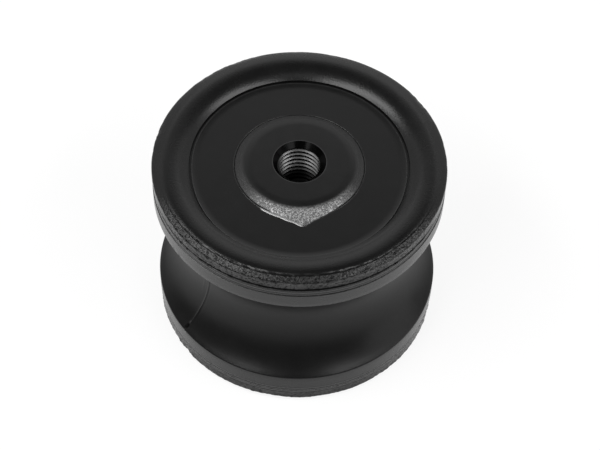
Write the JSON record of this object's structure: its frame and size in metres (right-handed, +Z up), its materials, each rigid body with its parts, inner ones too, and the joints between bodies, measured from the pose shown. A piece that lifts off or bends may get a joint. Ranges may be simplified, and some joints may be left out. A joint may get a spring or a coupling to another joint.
{
  "type": "engine mount",
  "caption": "Waisted round rubber engine mount with a steel plate bonded into each end face and a blind threaded nut in the middle of each plate.",
  "frame": {"origin": "on the axis, at the lower lip crest that the mount stands on", "axes": "+Z up the axis of the mount, -Y to the front, where the pointed corner of the upper nut shows"},
  "size_m": [0.1, 0.1, 0.075],
  "materials": {
    "rubber": "matt moulded black rubber",
    "plate_coat": "satin black bonding coat on steel",
    "nut_steel": "dark phosphated steel, satin"
  },
  "bodies": {
    "root": {"rubber_body": "rubber", "upper_plate": "plate_coat", "upper_nut": "nut_steel", "lower_plate": "plate_coat", "lower_nut": "nut_steel"}
  },
  "joints": []
}
